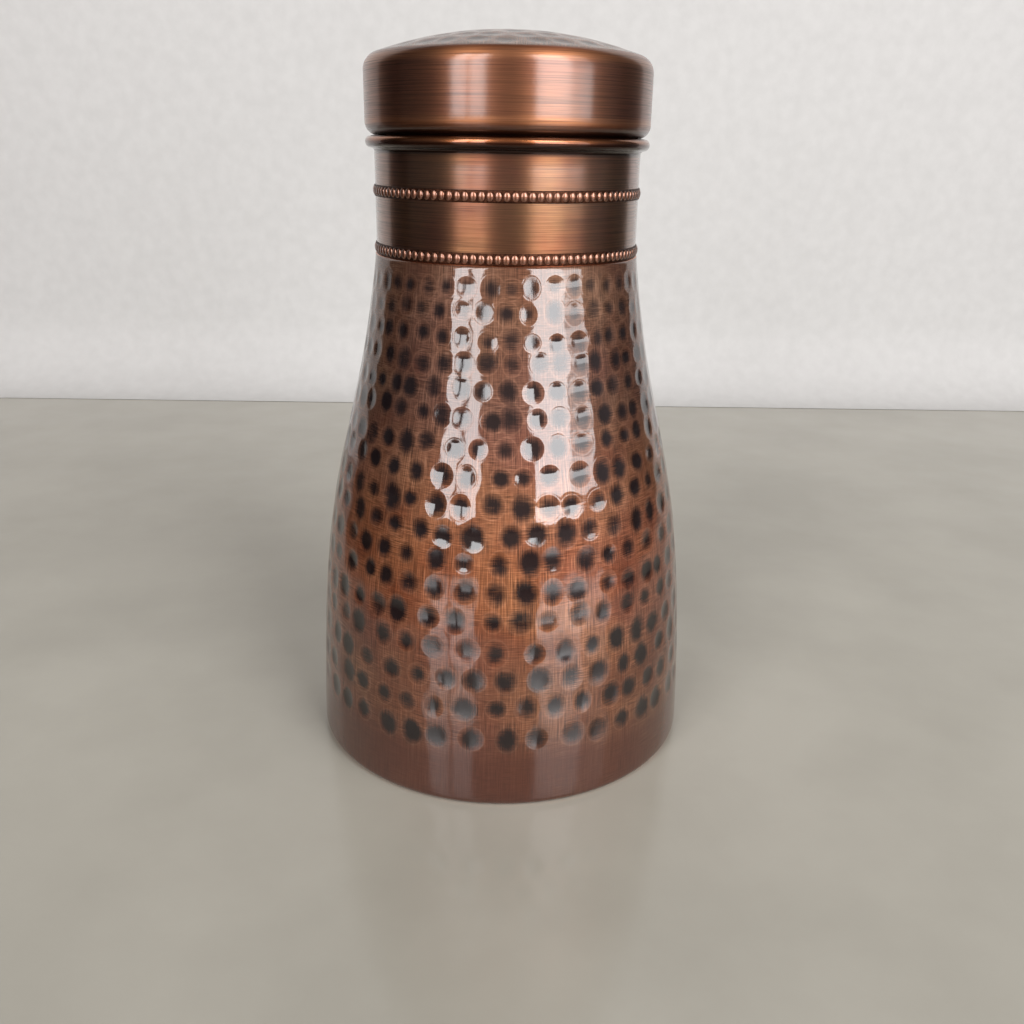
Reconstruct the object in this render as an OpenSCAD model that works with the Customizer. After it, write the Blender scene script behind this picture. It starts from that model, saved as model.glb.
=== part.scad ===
// Copper water bottle with a lift-off lid whose underside is a drinking tumbler.
// Millimetres, +Z up, origin at the centre of the foot on the surface it stands on.

/* [Sheet] */
// Thickness of the copper sheet of the bottle and the cap
wall = 0.7; // [0.6:0.05:0.9]
// Thickness of the tumbler's sheet
tumbler_wall = 0.6; // [0.5:0.05:0.7]

/* [Body] */
// Outer radius where the wall rises from the foot
foot_r = 55.9; // [54:0.1:58]
// Radius of the turned-under edge of the foot
foot_corner_r = 2.5; // [1.8:0.1:3.5]
// Inner radius of the turned-under edge that the bottle stands on
foot_lip_r = 49.5; // [46:0.5:51]
// Height of the shoulder where the neck begins
body_h = 142.4; // [136:0.2:142.4]
// Outer radius of the wall at that shoulder
shoulder_r = 35.9; // [35.7:0.1:36.5]
// Radius of the lower control point of the wall's curve
lower_pull_r = 53.7; // [52:0.1:56]
// Height of the lower control point of the wall's curve
lower_pull_z = 91; // [85:1:95]
// Radius of the upper control point of the wall's curve
upper_pull_r = 43; // [41:0.1:46]
// Height of the upper control point of the wall's curve
upper_pull_z = 85; // [80:1:90]
// Height of the spigot that the neck is soldered over
spigot_h = 6; // [4:0.5:8]

/* [Base] */
// Height by which the middle of the base plate is pressed up
base_rise = 3; // [1.5:0.5:5]
// Radius of the pressed-up middle
base_rise_r = 46; // [40:1:47]
// Height of the base plate's upstand against the wall
base_upstand_h = 6; // [5:0.5:9]

/* [Neck] */
// Outer radius of the neck
neck_r = 35.5; // [35.5:0.1:35.6]
// Height of the centre of the rolled mouth
roll_z = 170.9; // [168:0.1:172]
// Outer radius of the roll's own section
roll_r = 1.5; // [1.4:0.05:1.7]

/* [Bead rings] */
// Height of the lower bead ring's centre line
lower_ring_z = 144.1; // [144.1:0.1:148]
// Height of the upper bead ring's centre line
upper_ring_z = 158.8; // [153:0.1:162]
// Number of beads in a ring
bead_count = 108; // [60:2:108]
// Radius of a bead
bead_r = 0.98; // [0.9:0.02:1]
// How far the beads stand out from the neck
bead_proud = 0.65; // [0.55:0.05:0.8]
// Height of the flat strip behind the beads
strip_h = 3.2; // [2.4:0.1:3.2]

/* [Cap] */
// Outer radius of the cap
cap_r = 37.8; // [37.6:0.1:38.2]
// Height of the cap's underside
cap_z = 172.4; // [172.4:0.1:173]
// Radius of the cap's turned-under lower edge
cap_lower_r = 3.4; // [3:0.1:3.6]
// Height at which the cap's straight side ends
cap_side_z = 188.1; // [186:0.1:190]
// Radius of the cap's shoulder
cap_shoulder_r = 4.4; // [3.5:0.1:5]
// Height of the top of the dome
cap_top_z = 198.2; // [197:0.1:200]

/* [Tumbler] */
// Outer radius of the tumbler's wall
tumbler_r = 33; // [31:0.1:33]
// Height of the tumbler's lip as it hangs in the neck
tumbler_lip_z = 112; // [105:1:130]
// Height of the outside of the tumbler's floor
tumbler_floor_z = 187.5; // [184:0.5:189]
// Radius of the corner between the tumbler's wall and floor
tumbler_corner_r = 4; // [3:0.5:6]
// Radius of the tumbler's rolled lip
tumbler_lip_r = 0.7; // [0.6:0.05:0.7]

/* [Hidden] */
$fn = 96;
// Straight stretches in the wall's curve
wall_steps = 24;
// Degrees between the points of an arc in an outline
arc_step = 7.5;
// Film of solder between two pieces that are joined
solder = 0.05;
// Thickness of the flat strip behind the beads
strip_t = 0.3;
// Direction from the roll's centre in which the curled edge stops
roll_end_angle = -110;
// Radius of the bend from the base plate into its upstand
base_bend_r = 2.2;
// Margin by which a cutting shape passes what it cuts
margin = 1;

neck_bore_r = neck_r - wall;
roll_centre_r = neck_bore_r + roll_r;
rim_wire_r = roll_r - wall - solder;
spigot_r = neck_bore_r - solder;
bead_centre_r = neck_r + bead_proud - bead_r;

// The dome is part of a sphere that runs smoothly out of the cap's shoulder.
cap_shoulder_x = cap_r - cap_shoulder_r;
cap_shoulder_drop = cap_top_z - cap_side_z;
cap_dome_r = (cap_shoulder_x ^ 2 + cap_shoulder_drop ^ 2 - cap_shoulder_r ^ 2)
    / (2 * (cap_shoulder_drop - cap_shoulder_r));
cap_dome_angle = atan2(cap_side_z - cap_top_z + cap_dome_r, cap_shoulder_x);

// Points of an arc about [x, z] from angle a to angle b, both ends included.
function arc(x, z, r, a, b) =
    let (steps = max(1, ceil(abs(b - a) / arc_step)))
    [for (i = [0 : steps]) let (t = a + (b - a) * i / steps) [x + r * cos(t), z + r * sin(t)]];

// A point at t along the cubic curve of the wall, and the direction that the curve has there.
wall_curve = [
    [foot_r, foot_corner_r], [lower_pull_r, lower_pull_z],
    [upper_pull_r, upper_pull_z], [shoulder_r, body_h]
];
function curve_point(t) =
    (1 - t) ^ 3 * wall_curve[0] + 3 * t * (1 - t) ^ 2 * wall_curve[1]
    + 3 * t ^ 2 * (1 - t) * wall_curve[2] + t ^ 3 * wall_curve[3];
function curve_slope(t) =
    (1 - t) ^ 2 * (wall_curve[1] - wall_curve[0]) + 2 * t * (1 - t) * (wall_curve[2] - wall_curve[1])
    + t ^ 2 * (wall_curve[3] - wall_curve[2]);

// The wall's curve moved inward by a distance, measured square to the curve.
function inward(t, distance) =
    let (slope = curve_slope(t), along = slope / norm(slope))
    curve_point(t) + distance * [-along[1], along[0]];
function wall_line(distance) = [for (i = [0 : wall_steps]) inward(i / wall_steps, distance)];
function reversed(points) = [for (i = [len(points) - 1 : -1 : 0]) points[i]];

// Raised body: turned-under foot, flared wall, and a set-in spigot for the neck.
module body_shell() {
    corner_x = foot_r - foot_corner_r;
    inner_corner = foot_corner_r - wall;
    inner_wall = [for (p = wall_line(wall)) if (p[1] < body_h - 2 * wall) p];
    color("peru")
        rotate_extrude()
            polygon(concat(
                [[foot_lip_r, wall], [foot_lip_r, 0]],
                arc(corner_x, foot_corner_r, foot_corner_r, -90, 0),
                [for (i = [1 : wall_steps]) curve_point(i / wall_steps)],
                [[spigot_r, body_h], [spigot_r, body_h + spigot_h]],
                [[spigot_r - wall, body_h + spigot_h], [spigot_r - wall, body_h - wall]],
                [[shoulder_r - wall, body_h - wall]],
                reversed(inner_wall),
                arc(corner_x, foot_corner_r, inner_corner, -15, -90)
            ));
}

// Pressed base plate, soldered inside the foot on top of the turned-under edge.
module base_plate() {
    low = wall + solder;
    upstand_r = inward(0.1, wall + solder)[0] - wall / 4;
    top = low + base_upstand_h;
    color("sienna")
        rotate_extrude()
            polygon(concat(
                [[0, low + base_rise], [base_rise_r, low + base_rise], [base_rise_r + base_rise, low]],
                arc(upstand_r - base_bend_r, low + base_bend_r, base_bend_r, -90, 0),
                [[upstand_r, top], [upstand_r - wall, top]],
                arc(upstand_r - base_bend_r, low + base_bend_r, base_bend_r - wall, 0, -90),
                [[base_rise_r + base_rise + wall / 2, low + wall]],
                [[base_rise_r + wall / 2, low + base_rise + wall], [0, low + base_rise + wall]]
            ));
}

// Straight neck whose top edge is curled outward round the rim wire.
module neck_collar() {
    gap_reach = 2 * roll_r;
    color("chocolate")
        rotate_extrude() {
            translate([neck_bore_r, body_h])
                square([wall, roll_z - body_h]);
            translate([roll_centre_r, roll_z])
                difference() {
                    circle(roll_r);
                    circle(roll_r - wall);
                    polygon([
                        [0, 0], [-gap_reach, 0], [-gap_reach, -gap_reach],
                        gap_reach * [cos(roll_end_angle), sin(roll_end_angle)]
                    ]);
                }
        }
}

// Wire that stiffens the mouth.
module rim_wire() {
    color("darkgoldenrod")
        rotate_extrude()
            translate([roll_centre_r, roll_z])
                circle(rim_wire_r);
}

// Beaded strip soldered round the neck, centred on height z.
module bead_ring(z) {
    difference() {
        translate([0, 0, z]) {
            cylinder(r = neck_r + strip_t, h = strip_h, center = true);
            for (i = [0 : bead_count - 1])
                rotate(i * 360 / bead_count)
                    translate([bead_centre_r, 0, 0])
                        sphere(bead_r, $fn = 24);
        }
        cylinder(r = neck_r + solder / 2, h = z + strip_h + margin);
    }
}

module lower_bead_ring() {
    color("orange")
        bead_ring(lower_ring_z);
}

module upper_bead_ring() {
    color("orange")
        bead_ring(upper_ring_z);
}

// Points of the cap's outline at a depth inside its outer surface, from the underside to the top.
function cap_line(depth) =
    concat(
        arc(cap_r - cap_lower_r, cap_z + cap_lower_r, cap_lower_r - depth, -90, 0),
        arc(cap_shoulder_x, cap_side_z, cap_shoulder_r - depth, 0, cap_dome_angle),
        [for (i = [1 : wall_steps])
            let (t = cap_dome_angle + (90 - cap_dome_angle) * i / wall_steps)
            [(cap_dome_r - depth) * cos(t), cap_top_z - cap_dome_r + (cap_dome_r - depth) * sin(t)]]
    );

// Domed cap, closed underneath by its lower edge, which is turned in to the tumbler's wall.
module cap_shell() {
    seam_r = tumbler_r + solder;
    color("indianred")
        rotate_extrude()
            polygon(concat(
                [[seam_r, cap_z + wall], [seam_r, cap_z]],
                cap_line(0),
                reversed(cap_line(wall))
            ));
}

// Seamless tumbler, hanging mouth down in the neck and soldered to the cap.
module tumbler() {
    corner_x = tumbler_r - tumbler_corner_r;
    corner_z = tumbler_floor_z - tumbler_corner_r;
    lip_centre_z = tumbler_lip_z + tumbler_lip_r;
    color("tan")
        rotate_extrude() {
            polygon(concat(
                [[tumbler_r - tumbler_wall, lip_centre_z], [tumbler_r, lip_centre_z]],
                arc(corner_x, corner_z, tumbler_corner_r, 0, 90),
                [[0, tumbler_floor_z], [0, tumbler_floor_z - tumbler_wall]],
                arc(corner_x, corner_z, tumbler_corner_r - tumbler_wall, 90, 0)
            ));
            translate([tumbler_r, lip_centre_z])
                circle(tumbler_lip_r);
        }
}

body_shell();
base_plate();
neck_collar();
rim_wire();
lower_bead_ring();
upper_bead_ring();
cap_shell();
tumbler();
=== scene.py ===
"""The looks of the copper water bottle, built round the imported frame. Metres, +Z up, front towards -Y."""
import math

import bpy
import numpy as np
from mathutils import Matrix, Vector


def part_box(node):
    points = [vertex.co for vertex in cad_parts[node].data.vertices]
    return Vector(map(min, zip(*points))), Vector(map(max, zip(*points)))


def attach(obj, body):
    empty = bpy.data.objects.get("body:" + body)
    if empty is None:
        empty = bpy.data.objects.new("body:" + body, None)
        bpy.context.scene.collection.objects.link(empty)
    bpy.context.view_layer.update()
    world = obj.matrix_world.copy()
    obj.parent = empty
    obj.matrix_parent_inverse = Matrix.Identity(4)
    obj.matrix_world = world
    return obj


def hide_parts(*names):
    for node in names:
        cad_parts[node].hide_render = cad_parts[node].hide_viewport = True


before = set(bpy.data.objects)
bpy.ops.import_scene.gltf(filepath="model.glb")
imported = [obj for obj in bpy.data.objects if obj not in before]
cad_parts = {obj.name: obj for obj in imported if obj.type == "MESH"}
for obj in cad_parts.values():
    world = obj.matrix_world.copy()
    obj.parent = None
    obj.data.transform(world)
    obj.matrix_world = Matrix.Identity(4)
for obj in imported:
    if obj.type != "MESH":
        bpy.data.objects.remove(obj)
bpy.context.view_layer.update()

MM = 0.001
RANDOM = np.random.default_rng(41)


# ---------------------------------------------------------------- sizes read from the frame

def rim(node, z):
    """Smallest and largest radius of a CAD node's points at height z."""
    points = np.array([v.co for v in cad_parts[node].data.vertices])
    level = points[np.abs(points[:, 2] - z) < 0.02 * MM]
    radii = np.hypot(level[:, 0], level[:, 1])
    return float(radii.min()), float(radii.max())


BODY_LOW, BODY_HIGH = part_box("body_shell")
NECK_LOW, NECK_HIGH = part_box("neck_collar")
CAP_LOW, CAP_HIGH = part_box("cap_shell")
CUP_LOW, CUP_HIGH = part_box("tumbler")

FOOT_R = BODY_HIGH.x
FOOT_LIP_R, FOOT_FLAT_R = rim("body_shell", BODY_LOW.z)
FOOT_CORNER = FOOT_R - FOOT_FLAT_R
NECK_BORE_R, NECK_R = rim("neck_collar", NECK_LOW.z)
WALL = NECK_R - NECK_BORE_R
SHOULDER_Z = NECK_LOW.z
SHOULDER_R = rim("body_shell", SHOULDER_Z)[1]
SPIGOT_IN_R, SPIGOT_R = rim("body_shell", BODY_HIGH.z)
ROLL_R = (NECK_HIGH.x - NECK_BORE_R) / 2
ROLL_CENTRE_R = NECK_BORE_R + ROLL_R
ROLL_Z = NECK_HIGH.z - ROLL_R
CAP_R = CAP_HIGH.x
CAP_SEAM_R, CAP_FLAT_R = rim("cap_shell", CAP_LOW.z)
CAP_LOWER = CAP_R - CAP_FLAT_R

# Sizes that no box gives, as in the CAD model: the cap's shoulder, the height where its straight side ends,
# and the control points of the wall's curve between foot and shoulder.
CAP_SHOULDER_R = 4.4 * MM
CAP_SIDE_TOP = 188.1 * MM
WALL_CURVE = np.array([
    [FOOT_R, BODY_LOW.z + FOOT_CORNER], [53.7 * MM, 91 * MM], [43 * MM, 85 * MM], [SHOULDER_R, SHOULDER_Z]
])


# ---------------------------------------------------------------- outlines: lists of (radius, height)

def arc(centre, radius, start, end, steps):
    """Points of an arc, angles in degrees, both ends included."""
    angles = np.radians(np.linspace(start, end, steps + 1))
    return np.stack([centre[0] + radius * np.cos(angles), centre[1] + radius * np.sin(angles)], -1)


def straight(a, b, steps):
    """Points from a to b, both ends left out."""
    shares = np.linspace(0, 1, steps + 1)[1:-1, None]
    return np.array(a) * (1 - shares) + np.array(b) * shares


def wall_points(plain_rows, rows, plain_top):
    """Points of the wall's curve from the foot to the shoulder, far apart below plain_top, with their outward
    normals and their distances along the curve."""
    t = np.linspace(0, 1, 2001)[:, None]
    a, b, c, d = WALL_CURVE
    curve = (1 - t) ** 3 * a + 3 * t * (1 - t) ** 2 * b + 3 * t ** 2 * (1 - t) * c + t ** 3 * d
    length = np.concatenate([[0], np.cumsum(np.hypot(*np.diff(curve, axis=0).T))])
    split = float(np.interp(plain_top, curve[:, 1], length))
    even = np.concatenate([np.linspace(0, split, plain_rows + 1)[:-1], np.linspace(split, length[-1], rows)])
    points = np.stack([np.interp(even, length, curve[:, i]) for i in (0, 1)], -1)
    along = np.gradient(points, even, axis=0)
    along /= np.linalg.norm(along, axis=1)[:, None]
    return points, np.stack([along[:, 1], -along[:, 0]], -1), even


# ---------------------------------------------------------------- meshes

def circle(point, columns, move=None, normal=None):
    """One ring of a body of revolution. move shifts each of its points along the outline's normal."""
    angles = np.arange(columns) * 2 * math.pi / columns
    r = np.full(columns, point[0])
    z = np.full(columns, point[1])
    if move is not None:
        r = r + move * normal[0]
        z = z + move * normal[1]
    return np.stack([r * np.sin(angles), -r * np.cos(angles), z], -1)


def count_points(rings):
    return sum(len(ring) for ring in rings)


def join_rings(rings, closed=False, start=0):
    """Faces between rings of points, the first point being number start. A ring has as many points as the
    next, a whole number of times as many or as few, or one."""
    starts = start + np.cumsum([0] + [len(ring) for ring in rings])
    faces = []
    pairs = list(zip(range(len(rings)), range(1, len(rings))))
    if closed:
        pairs.append((len(rings) - 1, 0))
    for low, high in pairs:
        n_low, n_high = len(rings[low]), len(rings[high])
        s_low, s_high = int(starts[low]), int(starts[high])
        few = min(n for n in (n_low, n_high) if n > 1)
        up, down = n_low // few, n_high // few
        for i in range(few):
            bottom = [s_low + (i * up + k) % n_low for k in range(up + 1)] if n_low > 1 else [s_low]
            top = [s_high + (i * down + k) % n_high for k in range(down, -1, -1)] if n_high > 1 else [s_high]
            faces.append(bottom + top)
    return faces


def join_shell(outer, inner):
    """Faces of a shell open below. Its outer and inner rings run from the top down and meet at their last."""
    start = count_points(outer)
    faces = join_rings(outer) + join_rings(inner, start=start)
    many, few = len(outer[-1]), len(inner[-1])
    low_outer, low_inner = start - many, start + count_points(inner) - few
    step = many // few
    for i in range(few):
        fine = [low_outer + (i * step + k) % many for k in range(step + 1)]
        faces.append(fine + [low_inner + (i + 1) % few, low_inner + i])
    return faces


def make_piece(name, rings, faces, body, replaced, materials, pick=None, marks=None):
    """A smooth mesh of the rings, standing for a CAD node. pick gives a face's material, and marks are values
    kept on its points, a list for each ring."""
    mesh = bpy.data.meshes.new(name)
    mesh.from_pydata(np.concatenate(rings).tolist(), [], faces)
    for material in materials:
        mesh.materials.append(material)
    for mark, values in (marks or {}).items():
        attribute = mesh.attributes.new(mark, "FLOAT", "POINT")
        attribute.data.foreach_set("value", np.concatenate(values).astype(np.float32))
    if pick is not None:
        for face in mesh.polygons:
            face.material_index = pick(face)
    mesh.shade_smooth()
    piece = bpy.data.objects.new(name, mesh)
    bpy.context.scene.collection.objects.link(piece)
    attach(piece, body)
    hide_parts(replaced)


# ---------------------------------------------------------------- hammer marks

# How far a mark dishes the copper round it, as a multiple of the mark's own radius.
SKIRT = 1.75


def strike(points, lengths, columns, marks):
    """Presses marks into a wall of revolution laid out flat, with a row of columns points for each point of
    its outline. A mark is (angle round the axis, distance along the outline, half width, half height, depth,
    darkness, share of its radius that the patina fills). Gives each point's depth, its patina, and its
    distance to the nearest mark's middle as a share of that mark's radius."""
    angles = np.arange(columns) * 2 * math.pi / columns
    deep = np.zeros((len(points), columns))
    dark = np.zeros_like(deep)
    away = np.full_like(deep, SKIRT)
    for angle, length, wide, tall, depth, shade, filled in marks:
        near_rows = np.nonzero(np.abs(lengths - length) < SKIRT * tall)[0]
        if not len(near_rows):
            continue
        radius = float(np.interp(length, lengths, points[:, 0]))
        turn = (angles - angle + math.pi) % (2 * math.pi) - math.pi
        near_columns = np.nonzero(np.abs(turn * radius) < SKIRT * wide)[0]
        across = turn[near_columns] * radius / wide
        along = (lengths[near_rows] - length) / tall
        q = along[:, None] ** 2 + across[None, :] ** 2
        bowl = 0.62 * depth * np.clip(1 - q, 0, None) ** 1.25
        slope = 0.45 * depth * np.clip(1 - q / SKIRT ** 2, 0, None) ** 2
        grid = np.ix_(near_rows, near_columns)
        deep[grid] = np.maximum(deep[grid], bowl + slope)
        dark[grid] = np.maximum(dark[grid], shade * np.exp(-(q / filled ** 2) ** 1.7))
        away[grid] = np.minimum(away[grid], np.sqrt(q))
    return deep, dark, away


def wall_marks(lengths, heights):
    """Rows of hammer marks round the wall, closer together towards the neck."""
    rows, around = 17, 41
    top_z, top_pitch, low_pitch = 137.2 * MM, 5.9 * MM, 8.6 * MM
    marks = []
    for i in range(rows):
        down = i / (rows - 1)
        z = top_z - i * (top_pitch + (low_pitch - top_pitch) * down / 2)
        length = float(np.interp(z, heights, lengths))
        count = int(round(around + RANDOM.uniform(-1.5, 1.5)))
        phase = RANDOM.uniform(0, 2 * math.pi)
        sway = RANDOM.uniform(0, 2 * math.pi, 2)
        for k in range(count):
            angle = phase + (k + RANDOM.normal(0, 0.09)) * 2 * math.pi / count
            drift = 0.5 * math.sin(angle * 2 + sway[0]) + 0.3 * math.sin(angle * 5 + sway[1])
            wide = (2.5 + 0.65 * down) * RANDOM.uniform(0.88, 1.14) * MM
            tall = wide * RANDOM.uniform(0.95, 1.28)
            depth = (0.18 + 0.1 * down) * RANDOM.uniform(0.65, 1.45) * MM
            shade = RANDOM.uniform(0.8, 1.06) * min(1.0, 0.8 + down)
            filled = min(0.95, 0.68 + 0.9 * down) * RANDOM.uniform(0.82, 1.12)
            place = length + (drift + RANDOM.normal(0, 0.25)) * MM
            marks.append((angle % (2 * math.pi), place, wide, tall, depth, shade, filled))
    return marks


def dome_marks(lengths, radii):
    """Rings of hammer marks on the dome of the cap."""
    marks = []
    filled = 0.85
    for ring_r, count in ((31, 28), (24.6, 22), (18.2, 16), (11.8, 11), (5.6, 5), (0.3, 1)):
        length = float(np.interp(ring_r * MM, radii[::-1], lengths[::-1]))
        phase = RANDOM.uniform(0, 2 * math.pi)
        for k in range(count):
            angle = phase + (k + RANDOM.normal(0, 0.1)) * 2 * math.pi / count
            wide = RANDOM.uniform(3.0, 3.5) * MM
            place = length + RANDOM.normal(0, 0.4) * MM
            depth = RANDOM.uniform(0.2, 0.3) * MM
            shade = RANDOM.uniform(0.5, 0.9)
            marks.append((angle % (2 * math.pi), place, wide, wide, depth, shade, filled))
    return marks


# ---------------------------------------------------------------- materials

class Finish:
    """A material's node tree, with a short call for each kind of node that the finishes use."""

    def __init__(self, name):
        self.material = bpy.data.materials.new(name)
        self.material.use_nodes = True
        self.tree = self.material.node_tree
        self.shader = self.tree.nodes["Principled BSDF"]

    def node(self, kind, **settings):
        made = self.tree.nodes.new(kind)
        for key, value in settings.items():
            setattr(made, key, value)
        return made

    def put(self, value, socket):
        if isinstance(value, bpy.types.NodeSocket):
            self.tree.links.new(value, socket)
        else:
            socket.default_value = value

    def set(self, **sockets):
        """Sets the shader's own sockets, their names written with _ for a space."""
        for name, value in sockets.items():
            self.put(value, self.shader.inputs[name.replace("_", " ")])

    def math(self, operation, a, b=0.0):
        made = self.node("ShaderNodeMath", operation=operation)
        self.put(a, made.inputs[0])
        self.put(b, made.inputs[1])
        return made.outputs[0]

    def separated(self, vector):
        """A vector's x, y and z."""
        made = self.node("ShaderNodeSeparateXYZ")
        self.put(vector, made.inputs[0])
        return made.outputs

    def vector(self, operation, a, b=(0, 0, 0)):
        made = self.node("ShaderNodeVectorMath", operation=operation)
        self.put(a, made.inputs[0])
        self.put(b, made.inputs[1])
        return made.outputs[0]

    def scaled(self, vector, factor):
        made = self.node("ShaderNodeVectorMath", operation="SCALE")
        self.put(vector, made.inputs[0])
        self.put(factor, made.inputs["Scale"])
        return made.outputs[0]

    def mark(self, name):
        return self.node("ShaderNodeAttribute", attribute_name=name).outputs["Fac"]

    def span(self, value, low, high, to_low=0.0, to_high=1.0, soft=False):
        """value from low..high spread over to_low..to_high, held there beyond. soft rounds off both ends."""
        made = self.node("ShaderNodeMapRange", clamp=True)
        if soft:
            made.interpolation_type = "SMOOTHSTEP"
        for socket, number in zip(made.inputs, (value, low, high, to_low, to_high)):
            self.put(number, socket)
        return made.outputs[0]

    def mix(self, factor, a, b, blend="MIX"):
        made = self.node("ShaderNodeMix", data_type="RGBA", blend_type=blend)
        self.put(factor, made.inputs[0])
        self.put(a, made.inputs[6])
        self.put(b, made.inputs[7])
        return made.outputs[2]

    def noise(self, vector, size, detail=2.0, roughness=0.5):
        """Noise with features of a given size in metres."""
        made = self.node("ShaderNodeTexNoise")
        self.put(vector, made.inputs["Vector"])
        made.inputs["Scale"].default_value = 1 / size
        made.inputs["Detail"].default_value = detail
        made.inputs["Roughness"].default_value = roughness
        return made.outputs["Fac"]

    def here(self):
        """Position on the piece."""
        return self.node("ShaderNodeTexCoord").outputs["Object"]

    def place(self, seen_from_above=False):
        """Position on the piece, and two directions for streaks: round the axis and up, the distance from the
        axis made equal everywhere, or across and along a surface seen from above."""
        here = self.here()
        if seen_from_above:
            return here, self.vector("MULTIPLY", here, (1, 0, 0)), self.vector("MULTIPLY", here, (0, 1, 0))
        flat = self.vector("MULTIPLY", here, (1, 1, 0))
        around = self.scaled(self.vector("NORMALIZE", flat), FOOT_R)
        up = self.vector("MULTIPLY", here, (0, 0, 1))
        return here, around, up

    def bump(self, height, distance):
        made = self.node("ShaderNodeBump")
        self.put(height, made.inputs["Height"])
        made.inputs["Distance"].default_value = distance
        made.inputs["Strength"].default_value = 1.0
        return made.outputs["Normal"]


def colour(r, g, b):
    """An sRGB colour from 0 to 255 as linear values."""
    out = []
    for part in (r, g, b):
        part /= 255
        out.append(part / 12.92 if part <= 0.04045 else ((part + 0.055) / 1.055) ** 2.4)
    return (*out, 1.0)


def streaks(finish, around, up, width, length, upright):
    """Fine parallel scratches of a given width and length, upright or round the axis."""
    squeeze = width / length
    if upright:
        vector = finish.vector("ADD", around, finish.scaled(up, squeeze))
    else:
        vector = finish.vector("ADD", finish.scaled(around, squeeze), up)
    return finish.noise(vector, width, 2.0, 0.6)


def hammered_copper(name, hues, upper, lacquer, on_top=False):
    """Raised copper scratch-brushed both ways, charcoal patina left in the marks, clear lacquer over all.
    upper tints the copper near the shoulder."""
    scratch_dark, scratch_bright = colour(28, 10, 6), colour(224, 172, 132)
    cloud_tint, lower_tint = colour(186, 138, 122), (0.68, 0.69, 0.76, 1)
    plain_band, rim_wear_and_sheen, charcoal = colour(96, 53, 41), colour(216, 160, 128), colour(32, 20, 24)
    lip_middle, lip_width = 1.06, 0.13
    f = Finish(name)
    here, around, up = f.place(on_top)
    height = f.separated(here)["Z"]
    upright = streaks(f, around, up, 0.21 * MM, 9 * MM, True)
    level = streaks(f, around, up, 0.19 * MM, 5 * MM, False)
    broad = f.noise(here, 14 * MM, 3)
    patches = f.noise(here, 5 * MM)
    lumps = f.noise(here, 1.6 * MM)
    scratch = f.mix(f.span(patches, 0.35, 0.65, 0.25, 0.85), level, upright)
    from_lip = f.math("ABSOLUTE", f.math("SUBTRACT", f.mark("away"), lip_middle))
    lip = f.span(from_lip, 0.0, lip_width, 1.0, 0.0, soft=True)

    # The raised copper, scratched dark and bright, clouded, and tinted by height.
    golden = f.mix(f.span(f.noise(here, 40 * MM), 0.4, 0.6), *hues)
    raised = f.mix(f.span(scratch, 0.36, 0.6), f.mix(0.68, golden, scratch_dark), golden)
    raised = f.mix(f.span(scratch, 0.55, 0.7, 0.0, 0.5), raised, scratch_bright)
    raised = f.mix(f.span(broad, 0.35, 0.7, 0.0, 0.7), raised, cloud_tint, "MULTIPLY")
    raised = f.mix(f.span(height, 70 * MM, 108 * MM), raised, upper, "MULTIPLY")
    raised = f.mix(f.span(height, 60 * MM, 34 * MM), raised, lower_tint, "MULTIPLY")
    raised = f.mix(f.span(height, 14 * MM, 24 * MM, 0.75, 0.0), raised, plain_band)
    # A faint pale ring round each mark's rim, partly a worn edge and partly a painted highlight.
    raised = f.mix(f.math("MULTIPLY", lip, 0.1), raised, rim_wear_and_sheen)

    # The patina, its edge broken up by patches and scratches.
    patina = f.math("ADD", f.mark("patina"), f.span(patches, 0.3, 0.7, -0.14, 0.14))
    patina = f.math("ADD", patina, f.span(scratch, 0.3, 0.7, 0.12, -0.16))
    dark = f.span(patina, 0.12, 0.84)

    # The relief of the copper, and the smoother one of the lacquer.
    relief = f.math("ADD", scratch, f.math("MULTIPLY", lip, 0.25))
    swell = f.math("ADD", f.math("MULTIPLY", lip, 0.4), f.math("MULTIPLY", lumps, 0.25))
    gloss = f.math("ADD", f.math("MULTIPLY", scratch, 0.13), swell)
    f.set(
        Base_Color=f.mix(dark, raised, charcoal),
        Metallic=1.0,
        Roughness=f.math("ADD", f.span(scratch, 0.3, 0.7, 0.7, 0.58), f.math("MULTIPLY", dark, 0.05)),
        Normal=f.bump(relief, 0.03 * MM),
        Coat_Weight=lacquer, Coat_Roughness=0.04, Coat_IOR=1.7,
        Coat_Normal=f.bump(gloss, 0.03 * MM),
    )
    return f.material


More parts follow.
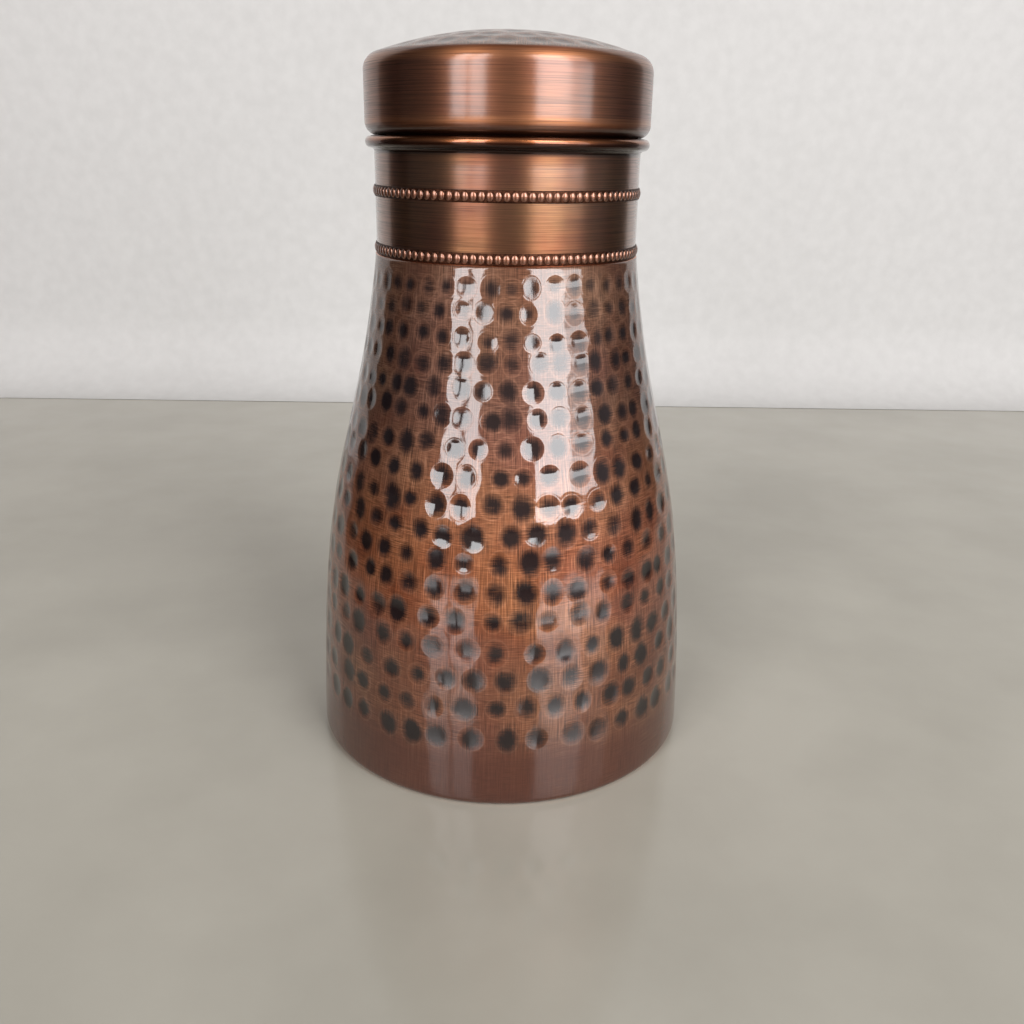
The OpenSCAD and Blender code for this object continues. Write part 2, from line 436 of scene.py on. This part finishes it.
def brushed_copper(name, hues, roughness, coat, bright=None, wear_and_sheen=(), sooted=(), spread=0.85):
    """Antique copper brushed round the axis, shading from one hue into the other. coat is the lacquer's
    weight, roughness and IOR. The first list of (low, high) bands of height gets a painted highlight in the
    bright hue along the brush lines, and in each band of the second a painted shade fades away from its first
    height to its second."""
    soot = colour(30, 16, 12)
    f = Finish(name)
    here, around, up = f.place()
    height = f.separated(here)["Z"]
    fine = streaks(f, around, up, 0.15 * MM, 30 * MM, False)
    coarse = streaks(f, around, up, 0.34 * MM, 60 * MM, False)
    broad = f.noise(here, 16 * MM, 3)
    line = f.math("ADD", f.math("MULTIPLY", fine, 0.72), f.math("MULTIPLY", coarse, 0.28))
    base = f.mix(f.span(broad, 0.38, 0.62), *hues)
    base = f.mix(f.span(line, 0.38, 0.56), f.mix(0.5, base, colour(0, 0, 0)), base)
    # Painted highlight: each band of height is painted in the bright hue along the brush lines.
    for low, high in wear_and_sheen:
        middle, half = (low + high) / 2, (high - low) / 2
        away = f.math("ABSOLUTE", f.math("SUBTRACT", height, middle))
        painted_sheen = f.math("MULTIPLY", f.span(away, half, 0.3 * half), f.span(line, 0.3, 0.6, 0, 0.75))
        base = f.mix(painted_sheen, base, bright)
    # Painted shade: dark at each band's first height, fading out by its second.
    for low, high in sooted:
        base = f.mix(f.span(height, low, high, 0.85, 0), base, soot)
    weight, coat_roughness, ior = coat
    f.set(
        Base_Color=base,
        Metallic=1.0,
        Roughness=f.span(line, 0.35, 0.65, roughness + 0.07, roughness - 0.05),
        Anisotropic=spread, Anisotropic_Rotation=0.25,
        Tangent=f.node("ShaderNodeTangent", direction_type="RADIAL", axis="Z").outputs[0],
        Normal=f.bump(line, 0.02 * MM),
        Coat_Weight=weight, Coat_Roughness=coat_roughness, Coat_IOR=ior,
    )
    return f.material


def plain_copper(name, base, roughness):
    """Unpatinated copper with the faint rings that spinning leaves."""
    f = Finish(name)
    here, around, up = f.place()
    rings = streaks(f, around, up, 0.4 * MM, 60 * MM, False)
    cloud = f.noise(here, 12 * MM, 4)
    darker = tuple(0.62 * part for part in base[:3]) + (1.0,)
    f.set(
        Base_Color=f.mix(f.span(cloud, 0.3, 0.75, 0, 0.7), base, darker),
        Metallic=1.0,
        Roughness=f.span(rings, 0.3, 0.7, roughness - 0.06, roughness + 0.08),
        Normal=f.bump(rings, 0.012 * MM),
    )
    return f.material


def bead_copper():
    """Worn bright on the beads' fronts, darker round their edges."""
    f = Finish("bead_copper")
    here = f.here()
    grain = f.noise(here, 0.5 * MM, 3)
    wear_and_sheen = f.span(f.math("ADD", f.mark("wear"), f.span(grain, 0.3, 0.7, -0.15, 0.15)), 0.1, 0.7)
    f.set(
        Base_Color=f.mix(wear_and_sheen, colour(40, 24, 20), colour(146, 98, 76)),
        Metallic=1.0,
        Roughness=f.span(wear_and_sheen, 0, 1, 0.5, 0.36),
        Normal=f.bump(grain, 0.03 * MM),
        Coat_Weight=0.9, Coat_Roughness=0.08, Coat_IOR=1.6,
    )
    return f.material


def strip_copper():
    """The dark ground that the beads stand on."""
    f = Finish("strip_copper")
    here = f.here()
    grain = f.noise(here, 0.6 * MM, 3)
    f.set(
        Base_Color=f.mix(f.span(grain, 0.35, 0.65), colour(46, 27, 20), colour(86, 54, 40)),
        Metallic=1.0,
        Roughness=0.5,
        Normal=f.bump(grain, 0.02 * MM),
    )
    return f.material


def floor_material():
    """Pale polished tile with a faint cloudiness, brown in front of the bottle and to its sides."""
    f = Finish("floor_tile")
    here = f.here()
    cloud = f.noise(here, 60 * MM, 5)
    tile = f.mix(f.span(cloud, 0.35, 0.65), colour(165, 162, 151), colour(174, 171, 160))
    across, along = f.separated(here)["X"], f.separated(here)["Y"]
    in_front = f.span(along, -0.2, -0.34)
    off_middle = f.math("ABSOLUTE", f.math("SUBTRACT", across, 0.045))
    sideways = f.math("SUBTRACT", off_middle, f.math("MULTIPLY", along, 0.4))
    beyond = f.math("MAXIMUM", in_front, f.span(sideways, 0.235, 0.31))
    f.set(
        Base_Color=f.mix(beyond, tile, colour(84, 66, 54)),
        Roughness=0.16, IOR=1.5,
    )
    return f.material


def wall_material():
    """Plain matt off-white."""
    f = Finish("backdrop_paint")
    here = f.here()
    grain = f.noise(here, 8 * MM, 4)
    f.set(
        Base_Color=f.mix(f.span(grain, 0.3, 0.7), colour(198, 198, 197), colour(204, 204, 203)),
        Roughness=0.8,
    )
    return f.material


# ---------------------------------------------------------------- camera, lights, floor

def make_camera():
    """The photograph's view: 20 degrees down, close in front of the bottle."""
    distance, height = 285.1 * MM, 170.0 * MM
    pitch, yaw, roll = math.radians(20.07), 0.0095, 0.0155
    forward = Vector((math.sin(yaw) * math.cos(pitch), math.cos(yaw) * math.cos(pitch), -math.sin(pitch)))
    level = Vector((math.cos(yaw), -math.sin(yaw), 0))
    above = level.cross(forward)
    right = math.cos(roll) * level + math.sin(roll) * above
    up = math.cos(roll) * above - math.sin(roll) * level
    camera = bpy.data.objects.new("camera", bpy.data.cameras.new("camera"))
    camera.data.sensor_width, camera.data.lens = 36, 35.11
    camera.data.clip_start, camera.data.clip_end = 0.01, 20
    turn = Matrix((right, up, -forward)).transposed()
    camera.matrix_world = Matrix.Translation((0, -distance, height)) @ turn.to_4x4()
    bpy.context.scene.collection.objects.link(camera)
    bpy.context.scene.camera = camera


def softbox(name, left, right, low, high, radiance, distance=1.4):
    """An upright rectangle of light facing the bottle, azimuths left and right in degrees, 0 towards -Y."""
    a = math.radians((left + right) / 2)
    width = 2 * distance * math.tan(math.radians(right - left) / 2)
    light = bpy.data.lights.new(name, "AREA")
    light.shape, light.size, light.size_y = "RECTANGLE", width, high - low
    light.energy = radiance * math.pi * width * (high - low)
    light.color = (0.98, 0.985, 1.0)
    lamp = bpy.data.objects.new(name, light)
    lamp.location = (distance * math.sin(a), -distance * math.cos(a), (low + high) / 2)
    lamp.rotation_euler = (math.radians(90), 0, a)
    bpy.context.scene.collection.objects.link(lamp)
    lamp.visible_camera = False


def make_world():
    """A dim brown room, darkest to the left and right of the bottle and pale where the camera looks at it."""
    world = bpy.data.worlds.new("studio")
    bpy.context.scene.world = world
    world.use_nodes = True
    nodes, links = world.node_tree.nodes, world.node_tree.links
    room, pale = nodes["Background"], nodes.new("ShaderNodeBackground")
    pale.inputs["Color"].default_value = (0.72, 0.71, 0.69, 1)
    direction = nodes.new("ShaderNodeSeparateXYZ")
    links.new(nodes.new("ShaderNodeTexCoord").outputs["Generated"], direction.inputs[0])
    front = nodes.new("ShaderNodeMath")
    front.operation = "MULTIPLY"
    front.inputs[1].default_value = -1
    links.new(direction.outputs["Y"], front.inputs[0])
    azimuth = nodes.new("ShaderNodeMath")
    azimuth.operation = "ARCTAN2"
    links.new(direction.outputs["X"], azimuth.inputs[0])
    links.new(front.outputs[0], azimuth.inputs[1])
    share = nodes.new("ShaderNodeMapRange")
    share.inputs["From Min"].default_value, share.inputs["From Max"].default_value = -math.pi, math.pi
    links.new(azimuth.outputs[0], share.inputs[0])
    ramp = nodes.new("ShaderNodeValToRGB")
    brown, red_brown = (1.0, 0.9, 0.84), (1.0, 0.78, 0.64)
    stops = (
        (-112, 0.03, brown), (-94, 0.03, brown), (-90, 0.09, brown), (-60, 0.14, brown),
        (-14, 0.38, red_brown), (18, 0.4, red_brown),
        (66, 0.42, brown), (88, 0.25, brown), (98, 0.12, brown), (112, 0.07, brown),
    )
    ramp.color_ramp.elements.remove(ramp.color_ramp.elements[1])
    for i, (degrees, level, tint) in enumerate(stops):
        place = degrees / 360 + 0.5
        stop = ramp.color_ramp.elements[0] if i == 0 else ramp.color_ramp.elements.new(place)
        stop.position = place
        stop.color = (*(level * part for part in tint), 1)
    links.new(share.outputs[0], ramp.inputs[0])
    links.new(ramp.outputs[0], room.inputs["Color"])
    choose = nodes.new("ShaderNodeMixShader")
    links.new(nodes.new("ShaderNodeLightPath").outputs["Is Camera Ray"], choose.inputs[0])
    links.new(room.outputs[0], choose.inputs[1])
    links.new(pale.outputs[0], choose.inputs[2])
    links.new(choose.outputs[0], nodes["World Output"].inputs["Surface"])


def make_stage():
    """A polished floor and a plain wall behind, joined by a curve."""
    half = 2.0
    wall_y, wall_left, wall_right, wall_top = 0.45, -0.84, 0.62, 0.9
    bend, lift = 0.05, 0.2 * MM
    floor = bpy.data.meshes.new("floor")
    corners = [(-half, -half, 0), (half, -half, 0), (half, half, 0), (-half, half, 0)]
    floor.from_pydata(corners, [], [(0, 1, 2, 3)])
    floor.materials.append(floor_material())
    outline = arc((wall_y - bend, bend), bend, -90, 0, 12).tolist() + [(wall_y, wall_top)]
    points = [(x, y, z + lift) for y, z in outline for x in (wall_left, wall_right)]
    faces = [(2 * i, 2 * i + 1, 2 * i + 3, 2 * i + 2) for i in range(len(outline) - 1)]
    wall = bpy.data.meshes.new("backdrop")
    wall.from_pydata(points, [], faces)
    wall.materials.append(wall_material())
    wall.shade_smooth()
    for mesh in (floor, wall):
        staged = bpy.data.objects.new(mesh.name, mesh)
        bpy.context.scene.collection.objects.link(staged)


# ---------------------------------------------------------------- pieces

def make_body(outside, inside):
    """The raised body: hammered outer wall, turned-under foot, set-in spigot, plain inside. An outer ring has
    columns points, and an inner one few."""
    columns, few = 480, 120
    points, normals, lengths = wall_points(4, 174, 15 * MM)
    deep, dark, away = strike(points, lengths, columns, wall_marks(lengths, points[:, 1]))
    corner = (FOOT_FLAT_R, FOOT_CORNER)
    foot = [(FOOT_LIP_R, 0), *arc(corner, FOOT_CORNER, -90, 0, 6)[:-1]]
    ledge = [(SPIGOT_R, SHOULDER_Z), (SPIGOT_R, BODY_HIGH.z), (SPIGOT_IN_R, BODY_HIGH.z)]
    under_ledge = [(SPIGOT_IN_R, SHOULDER_Z - WALL), (SHOULDER_R - WALL, SHOULDER_Z - WALL)]
    rings = [circle(p, columns) for p in foot]
    rings += [circle(p, columns, -d, n) for p, d, n in zip(points, deep, normals)]
    rings += [circle(p, columns) for p in ledge]
    rings += [circle(p, few) for p in under_ledge]
    inner = points - normals * WALL
    for p in inner[inner[:, 1] < SHOULDER_Z - 2 * WALL][::-4]:
        row = int(np.argmin(np.abs(points[:, 1] - p[1])))
        rings.append(circle(p, few, -0.8 * deep[row, ::columns // few], normals[row]))
    rings += [circle(p, few) for p in arc(corner, FOOT_CORNER - WALL, -15, -90, 4)]
    rings.append(circle((FOOT_LIP_R, WALL), few))

    hammered = slice(len(foot), len(foot) + len(points))
    patina = [np.zeros(len(ring)) for ring in rings]
    patina[hammered] = list(dark)
    apart = [np.full(len(ring), away.max()) for ring in rings]
    apart[hammered] = list(away)
    edge = 0.4 * WALL
    # Deeper than any mark, and not as deep as the inside.
    halfway = 0.66 * MM

    def finish(face):
        """1, plain, for the inside, the spigot and a thin line low on the foot's corner, and 0, hammered, for
        the rest."""
        r, z = math.hypot(face.center.x, face.center.y), face.center.z
        wall_r = float(np.interp(z, points[:, 1], points[:, 0]))
        return int(z > SHOULDER_Z - edge or (z >= edge and r <= wall_r - halfway))

    faces = join_rings(rings, closed=True)
    make_piece("hammered_body", rings, faces, "bottle", "body_shell",
               (outside, inside), finish, {"patina": patina, "away": apart})


def make_neck(outside, roll):
    """Straight neck with the mouth curled outward and closed on itself."""
    columns = 384
    fillet = 0.9 * MM
    end = math.degrees(math.acos((NECK_R + fillet - ROLL_CENTRE_R) / (ROLL_R + fillet)))
    fillet_z = ROLL_Z - (ROLL_R + fillet) * math.sin(math.radians(end))
    outline = [(NECK_BORE_R, NECK_LOW.z), (NECK_R, NECK_LOW.z)]
    outline += straight((NECK_R, NECK_LOW.z), (NECK_R, fillet_z), 8).tolist()
    outline += arc((NECK_R + fillet, fillet_z), fillet, 180, 180 - end, 6).tolist()
    outline += arc((ROLL_CENTRE_R, ROLL_Z), ROLL_R, -end, 180, 26).tolist()[1:]
    outline += straight((NECK_BORE_R, ROLL_Z), (NECK_BORE_R, NECK_LOW.z), 6).tolist()
    rings = [circle(p, columns) for p in outline]
    make_piece("brushed_neck", rings, join_rings(rings, closed=True), "bottle", "neck_collar",
               (outside, roll), lambda face: int(face.center.z > fillet_z))


def make_beads(name, node, bead_finish, strip_finish):
    """A beaded strip: a flat band with soft edges, and a row of domed beads on it."""
    low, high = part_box(node)
    middle, half = (low.z + high.z) / 2, 0.92 * (high.z - low.z) / 2
    columns, across, along = 432, 20, 12
    count, bead_r, taller = 108, 1.02 * MM, 1.2
    gap, edge = 0.025 * MM, 0.28 * MM
    centre_r, strip_r = NECK_R + 0.1 * MM, NECK_R + 0.3 * MM
    flatten = (high.x - centre_r) / bead_r
    outline = [(NECK_R + gap, middle + half), (NECK_R + gap, middle - half)]
    outline += arc((strip_r - edge, middle - half + edge), edge, -90, 0, 4).tolist()
    outline += arc((strip_r - edge, middle + half - edge), edge, 0, 90, 4).tolist()
    rings = [circle(p, columns) for p in outline]
    wear = [np.zeros(columns) for _ in outline]
    faces = join_rings(rings, closed=True)
    strip_faces = len(faces)
    slopes = [math.pi * k / along for k in range(1, along)]
    for i in range(count):
        size = bead_r * RANDOM.uniform(0.97, 1.03)
        bead = [circle((0, -size), 1)]
        bead += [circle((size * math.sin(slope), -size * math.cos(slope)), across) for slope in slopes]
        bead.append(circle((0, size), 1))
        faces += join_rings(bead, start=count_points(rings))
        flat = np.concatenate(bead)
        out = -flat[:, 1]
        r = np.maximum(centre_r + out * flatten, NECK_R + gap)
        turn = i * 2 * math.pi / count + RANDOM.normal(0, 0.012) / count + flat[:, 0] / centre_r
        z = middle + flat[:, 2] * taller + RANDOM.normal(0, 0.02) * MM
        rings.append(np.stack([r * np.sin(turn), -r * np.cos(turn), z], -1))
        wear.append(np.clip((out / size + 0.05) * 1.9, 0, 1))
    make_piece(name, rings, faces, "bottle", node, (bead_finish, strip_finish),
               lambda face: int(face.index < strip_faces), {"wear": wear})


def make_cap(side_finish, dome_finish, inside):
    """Cap with a brushed side and a hammered dome, its lower edge turned in to the tumbler. An outer ring has
    columns points, or fewer near the middle of the dome, and an inner one few."""
    columns, few = 320, 80
    shoulder = (CAP_R - CAP_SHOULDER_R, CAP_SIDE_TOP)
    lower = (CAP_FLAT_R, CAP_LOW.z + CAP_LOWER)
    drop = CAP_HIGH.z - CAP_SIDE_TOP
    dome_r = (shoulder[0] ** 2 + drop ** 2 - CAP_SHOULDER_R ** 2) / (2 * (drop - CAP_SHOULDER_R))
    dome_z = CAP_HIGH.z - dome_r
    dome_start = math.degrees(math.atan2(CAP_SIDE_TOP - dome_z, shoulder[0]))
    side = [(CAP_SEAM_R, CAP_LOW.z), *arc(lower, CAP_LOWER, -90, 0, 12)]
    side += [*straight(side[-1], (CAP_R, CAP_SIDE_TOP), 8)]
    side += [*arc(shoulder, CAP_SHOULDER_R, 0, dome_start, 14)[:-1]]
    dome = arc((0, dome_z), dome_r, dome_start, 90, 48)[:-1]
    lengths = np.concatenate([[0], np.cumsum(np.hypot(*np.diff(dome, axis=0).T))])
    deep, dark, away = strike(dome, lengths, columns, dome_marks(lengths, dome[:, 0]))
    rings = [circle(p, columns) for p in side]
    patina = [np.zeros(columns) for _ in side]
    apart = [np.full(columns, away.max()) for _ in side]
    for p, d, shade, gap in zip(dome, deep, dark, away):
        step = 1 if p[0] > 16 * MM else 2 if p[0] > 8 * MM else 4 if p[0] > 4 * MM else 16
        rings.append(circle(p, columns // step, -d[::step], (p - (0, dome_z)) / dome_r))
        patina.append(shade[::step])
        apart.append(gap[::step])
    rings.append(circle((0, CAP_HIGH.z - 0.25 * MM), 1))
    patina.append(np.full(1, 0.6))
    apart.append(np.zeros(1))

    inside_line = [*arc((0, dome_z), dome_r - WALL, 89, dome_start, 12)]
    inside_line += [*arc(shoulder, CAP_SHOULDER_R - WALL, dome_start, 0, 6)[1:]]
    inside_line += [*arc(lower, CAP_LOWER - WALL, 0, -90, 6), (CAP_SEAM_R, CAP_LOW.z + WALL)]
    outer = rings[::-1]
    inner = [circle((0, CAP_HIGH.z - WALL), 1)] + [circle(p, few) for p in inside_line]
    patina = patina[::-1] + [np.zeros(len(ring)) for ring in inner]
    apart = apart[::-1] + [np.full(len(ring), SKIRT) for ring in inner]
    outer_faces = len(join_rings(outer))
    dome_edge = CAP_SIDE_TOP + CAP_SHOULDER_R * math.sin(math.radians(dome_start)) - 0.35 * MM
    make_piece("hammered_cap", outer + inner, join_shell(outer, inner), "lid", "cap_shell",
               (side_finish, dome_finish, inside),
               lambda face: 2 if face.index >= outer_faces else int(face.center.z > dome_edge),
               {"patina": patina, "away": apart})


def make_tumbler(material):
    """Seamless tumbler, mouth down, with a rolled lip."""
    columns = 256
    lip_r, thick, bend = 0.7 * MM, 0.6 * MM, 4 * MM
    lip_z = CUP_LOW.z + lip_r
    wall_r, top = CUP_HIGH.x - lip_r, CUP_HIGH.z - thick
    corner = (wall_r - bend, CUP_HIGH.z - bend)
    outside = arc((wall_r, lip_z), lip_r, 150, 450, 18).tolist()
    outside += straight((wall_r, lip_z + lip_r), (wall_r, corner[1]), 10).tolist()
    outside += arc(corner, bend, 0, 90, 8).tolist() + [(20 * MM, CUP_HIGH.z), (8 * MM, CUP_HIGH.z)]
    inside = [(8 * MM, top), (20 * MM, top)] + arc(corner, bend - thick, 90, 0, 8).tolist()
    inside += straight((wall_r - thick, corner[1]), (wall_r - thick, lip_z + lip_r), 10).tolist()
    outer = [circle((0, CUP_HIGH.z), 1)] + [circle(p, columns) for p in outside[::-1]]
    inner = [circle((0, top), 1)] + [circle(p, columns) for p in inside]
    make_piece("plain_tumbler", outer + inner, join_shell(outer, inner), "lid", "tumbler",
               (material,))


make_camera()
make_world()
make_stage()
# Each window's name, azimuths in degrees, lowest and highest point, and radiance.
for window in (
    ("window_left_a", -43, -31.3, 0.17, 1.7, 6.5),
    ("window_left_b", -28.9, -17, 0.17, 1.7, 6.5),
    ("window_right", 21, 48, 0.17, 1.7, 7.6),
    ("window_side_low", 48, 66, 0.17, 0.3, 5.0),
    ("window_side_high", 48, 66, 0.3, 1.7, 2.2),
):
    softbox(*window)

under_roll = ROLL_Z - 1.6 * ROLL_R
bare = plain_copper("bare_copper", colour(214, 148, 118), 0.3)
hammered = hammered_copper(
    "hammered_copper", (colour(184, 117, 88), colour(196, 131, 90)), (0.51, 0.63, 0.82, 1), 1.0)
dome = hammered_copper(
    "dome_copper", (colour(160, 114, 90), colour(170, 122, 92)), (0.86, 0.92, 1, 1), 0.8, on_top=True)
# The neck gets a band of painted shade just under the roll.
neck_finish = brushed_copper(
    "neck_copper", (colour(134, 80, 53), colour(142, 97, 62)), 0.38, (1.0, 0.17, 1.8),
    sooted=((under_roll, under_roll - 0.8 * MM),))
# The roll's top half gets a painted highlight and its underside painted shade.
roll_finish = brushed_copper(
    "roll_copper", (colour(102, 56, 38), colour(110, 64, 40)), 0.24, (0.6, 0.03, 1.5),
    bright=colour(190, 120, 72), wear_and_sheen=((ROLL_Z, ROLL_Z + ROLL_R),), sooted=((ROLL_Z - 0.6 * ROLL_R, ROLL_Z),),
    spread=0.2)
# The cap gets painted reflections of orange light along its lower rounding and its shoulder, and painted
# shade in the crease of its lower edge.
cap_finish = brushed_copper(
    "cap_copper", (colour(138, 83, 60), colour(147, 93, 63)), 0.47, (0.75, 0.17, 1.7),
    bright=colour(188, 126, 84),
    wear_and_sheen=((CAP_LOW.z + 2.2 * MM, CAP_LOW.z + 4.8 * MM), (CAP_SIDE_TOP + 0.5 * MM, CAP_SIDE_TOP + 3.7 * MM)),
    sooted=((CAP_LOW.z + 1.0 * MM, CAP_LOW.z + 2.6 * MM),), spread=0.76)
make_body(hammered, bare)
make_neck(neck_finish, roll_finish)
bead_finish, strip_finish = bead_copper(), strip_copper()
make_beads("lower_beads", "lower_bead_ring", bead_finish, strip_finish)
make_beads("upper_beads", "upper_bead_ring", bead_finish, strip_finish)
make_cap(cap_finish, dome, bare)
make_tumbler(bare)
for name in ("rim_wire", "base_plate"):
    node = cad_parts[name]
    node.data.materials.clear()
    node.data.materials.append(bare)

bpy.context.scene.view_settings.view_transform = "Standard"
